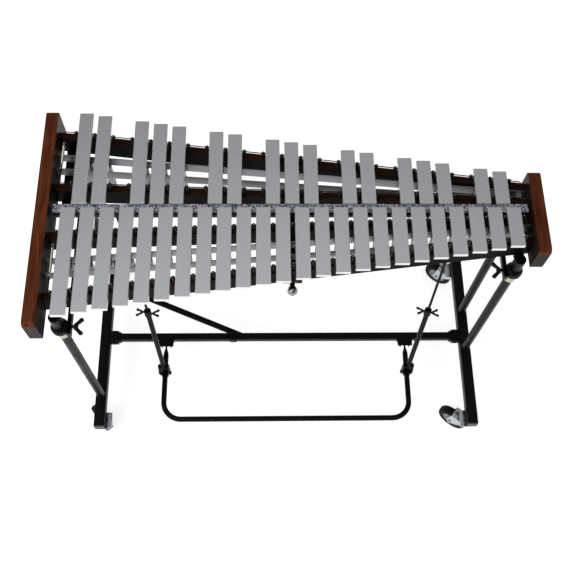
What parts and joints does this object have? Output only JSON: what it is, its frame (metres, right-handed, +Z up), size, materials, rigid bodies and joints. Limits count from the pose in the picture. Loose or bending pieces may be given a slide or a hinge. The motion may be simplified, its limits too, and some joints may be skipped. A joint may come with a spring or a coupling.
{
  "type": "vibraphone",
  "caption": "Two-row keyboard of strung metal bars in a tapered wooden frame, with damper bar, shallow resonators, sustain pedal and telescopic rolling stand.",
  "frame": {"origin": "on the floor under the middle of the bounding box", "axes": "+X along the keyboard towards the high notes, +Y away from the player, +Z up"},
  "size_m": [1.3384, 0.678, 0.934],
  "materials": {
    "bar_metal": "satin anodised",
    "wood": "satin red-brown varnish",
    "black_paint": "satin black",
    "felt": "blue-grey speckled felt",
    "resonator_metal": "dull grey",
    "spring_steel": "bright wire",
    "nylon": "cream",
    "red_plastic": "red",
    "zinc": "bright zinc plate",
    "tyre_rubber": "matt black"
  },
  "bodies": {
    "stand": {"side_frame_left": "black_paint", "side_frame_right": "black_paint", "stretcher": "black_paint", "diagonal_brace": "black_paint", "pedal_bracket_left": "black_paint", "pedal_bracket_right": "black_paint"},
    "keyboard": {"end_panel_left": "wood", "end_panel_right": "wood", "natural_front_rail": "wood", "natural_rear_rail": "wood", "accidental_front_rail": "wood", "accidental_rear_rail": "wood", "natural_bars_1": "bar_metal", "natural_bars_2": "bar_metal", "natural_bars_3": "bar_metal", "natural_bars_4": "bar_metal", "accidental_bars_1": "bar_metal", "accidental_bars_2": "bar_metal", "accidental_bars_3": "bar_metal", "accidental_bars_4": "bar_metal", "natural_cord_spring": "spring_steel", "accidental_cord_spring": "spring_steel", "natural_resonators": "resonator_metal", "accidental_resonators": "resonator_metal", "centre_support": "black_paint", "knob_washer": "red_plastic", "leg_sleeves_left": "black_paint", "leg_sleeves_right": "black_paint", "nylon_bush_front_left": "nylon", "nylon_bush_rear_left": "nylon", "nylon_bush_front_right": "nylon", "nylon_bush_rear_right": "nylon"},
    "damper": {"damper_bar": "black_paint", "damper_felt": "felt"},
    "pedal": {"pedal": "black_paint"},
    "knob": {"adjusting_knob": "black_paint"},
    "upper_rod_left": {"pull_rod_upper_left": "black_paint"},
    "rod_tube_left": {"pull_rod_tube_left": "black_paint"},
    "upper_rod_right": {"pull_rod_upper_right": "black_paint"},
    "rod_tube_right": {"pull_rod_tube_right": "black_paint"},
    "bolt_front_left": {"wing_bolt_front_left": "black_paint"},
    "bolt_rear_left": {"wing_bolt_rear_left": "black_paint"},
    "bolt_front_right": {"wing_bolt_front_right": "black_paint"},
    "bolt_rear_right": {"wing_bolt_rear_right": "black_paint"},
    "swivel_front_left": {"caster_fork_front_left": "zinc"},
    "wheel_front_left": {"caster_wheel_front_left": "tyre_rubber"},
    "lever_front_left": {"brake_lever_front_left": "zinc"},
    "swivel_rear_left": {"caster_fork_rear_left": "zinc"},
    "wheel_rear_left": {"caster_wheel_rear_left": "tyre_rubber"},
    "lever_rear_left": {"brake_lever_rear_left": "zinc"},
    "swivel_front_right": {"caster_fork_front_right": "zinc"},
    "wheel_front_right": {"caster_wheel_front_right": "tyre_rubber"},
    "lever_front_right": {"brake_lever_front_right": "zinc"},
    "swivel_rear_right": {"caster_fork_rear_right": "zinc"},
    "wheel_rear_right": {"caster_wheel_rear_right": "tyre_rubber"},
    "lever_rear_right": {"brake_lever_rear_right": "zinc"}
  },
  "joints": [
    {"name": "height_slide", "type": "slide", "parent": "stand", "child": "keyboard", "axis": [0, 0, 1], "range_m": [-0.02, 0.04]},
    {"name": "pedal_press", "type": "hinge", "parent": "stand", "child": "pedal", "pos_m": [0, -0.053, 0.1415], "axis": [1, 0, 0], "range_deg": [0, 7], "stiffness_Nm_per_rad": 90, "springref_deg": -11.46},
    {"name": "damper_drop", "type": "slide", "parent": "keyboard", "child": "damper", "axis": [0, 0, -1], "range_m": [0, 0.012]},
    {"name": "knob_turn", "type": "hinge", "parent": "keyboard", "child": "knob", "pos_m": [0, -0.145, 0.829], "axis": [0, -1, 0], "range_deg": [-180, 180]},
    {"name": "rod_swing_left", "type": "hinge", "parent": "damper", "child": "upper_rod_left", "pos_m": [-0.46, 0.0465, 0.8712], "axis": [0.967, 0.2546, 0], "range_deg": [-0.5, 0.9]},
    {"name": "rod_telescope_left", "type": "slide", "parent": "upper_rod_left", "child": "rod_tube_left", "axis": [0.0686, -0.2606, -0.963], "range_m": [-0.02, 0.04]},
    {"name": "rod_swing_right", "type": "hinge", "parent": "damper", "child": "upper_rod_right", "pos_m": [0.46, 0.0465, 0.8712], "axis": [0.967, -0.2546, 0], "range_deg": [-0.5, 0.9]},
    {"name": "rod_telescope_right", "type": "slide", "parent": "upper_rod_right", "child": "rod_tube_right", "axis": [-0.0686, -0.2606, -0.963], "range_m": [-0.02, 0.04]},
    {"name": "wing_bolt_turn_front_left", "type": "hinge", "parent": "keyboard", "child": "bolt_front_left", "pos_m": [-0.5736, -0.231, 0.773], "axis": [1, 0, 0], "range_deg": [-90, 90]},
    {"name": "wing_bolt_turn_rear_left", "type": "hinge", "parent": "keyboard", "child": "bolt_rear_left", "pos_m": [-0.5736, 0.249, 0.773], "axis": [1, 0, 0], "range_deg": [-90, 90]},
    {"name": "wing_bolt_turn_front_right", "type": "hinge", "parent": "keyboard", "child": "bolt_front_right", "pos_m": [0.5736, -0.069, 0.773], "axis": [1, 0, 0], "range_deg": [-90, 90]},
    {"name": "wing_bolt_turn_rear_right", "type": "hinge", "parent": "keyboard", "child": "bolt_rear_right", "pos_m": [0.5736, 0.065, 0.773], "axis": [1, 0, 0], "range_deg": [-90, 90]},
    {"name": "caster_swivel_front_left", "type": "hinge", "parent": "stand", "child": "swivel_front_left", "pos_m": [-0.602, -0.311, 0.111], "axis": [0, 0, 1], "continuous": true},
    {"name": "wheel_spin_front_left", "type": "hinge", "parent": "swivel_front_left", "child": "wheel_front_left", "pos_m": [-0.62607, -0.27905, 0.05], "axis": [-0.7986, -0.6018, 0], "continuous": true},
    {"name": "brake_press_front_left", "type": "hinge", "parent": "swivel_front_left", "child": "lever_front_left", "pos_m": [-0.62872, -0.27554, 0.1025], "axis": [-0.7986, -0.6018, 0], "range_deg": [0, 12]},
    {"name": "caster_swivel_rear_left", "type": "hinge", "parent": "stand", "child": "swivel_rear_left", "pos_m": [-0.602, 0.236, 0.111], "axis": [0, 0, 1], "continuous": true},
    {"name": "wheel_spin_rear_left", "type": "hinge", "parent": "swivel_rear_left", "child": "wheel_rear_left", "pos_m": [-0.622, 0.27064, 0.05], "axis": [-0.866, -0.5, 0], "continuous": true},
    {"name": "brake_press_rear_left", "type": "hinge", "parent": "swivel_rear_left", "child": "lever_rear_left", "pos_m": [-0.6242, 0.27445, 0.1025], "axis": [-0.866, -0.5, 0], "range_deg": [0, 12]},
    {"name": "caster_swivel_front_right", "type": "hinge", "parent": "stand", "child": "swivel_front_right", "pos_m": [0.602, -0.311, 0.111], "axis": [0, 0, 1], "continuous": true},
    {"name": "wheel_spin_front_right", "type": "hinge", "parent": "swivel_front_right", "child": "wheel_front_right", "pos_m": [0.57091, -0.28583, 0.05], "axis": [-0.6293, -0.7771, 0], "continuous": true},
    {"name": "brake_press_front_right", "type": "hinge", "parent": "swivel_front_right", "child": "lever_front_right", "pos_m": [0.56749, -0.28306, 0.1025], "axis": [-0.6293, -0.7771, 0], "range_deg": [0, 12]},
    {"name": "caster_swivel_rear_right", "type": "hinge", "parent": "stand", "child": "swivel_rear_right", "pos_m": [0.602, 0.236, 0.111], "axis": [0, 0, 1], "continuous": true},
    {"name": "wheel_spin_rear_right", "type": "hinge", "parent": "swivel_rear_right", "child": "wheel_rear_right", "pos_m": [0.56923, 0.25894, 0.05], "axis": [-0.5736, -0.8192, 0], "continuous": true},
    {"name": "brake_press_rear_right", "type": "hinge", "parent": "swivel_rear_right", "child": "lever_rear_right", "pos_m": [0.56563, 0.26147, 0.1025], "axis": [-0.5736, -0.8192, 0], "range_deg": [0, 12]}
  ],
  "couplings": [
    {"joint": "damper_drop", "follows": "pedal_press", "m_per_rad": 0.098},
    {"joint": "rod_swing_left", "follows": "height_slide", "rad_per_m": 0.345},
    {"joint": "rod_telescope_left", "follows": "height_slide", "ratio": 0.965},
    {"joint": "rod_swing_right", "follows": "height_slide", "rad_per_m": 0.345},
    {"joint": "rod_telescope_right", "follows": "height_slide", "ratio": 0.965}
  ]
}
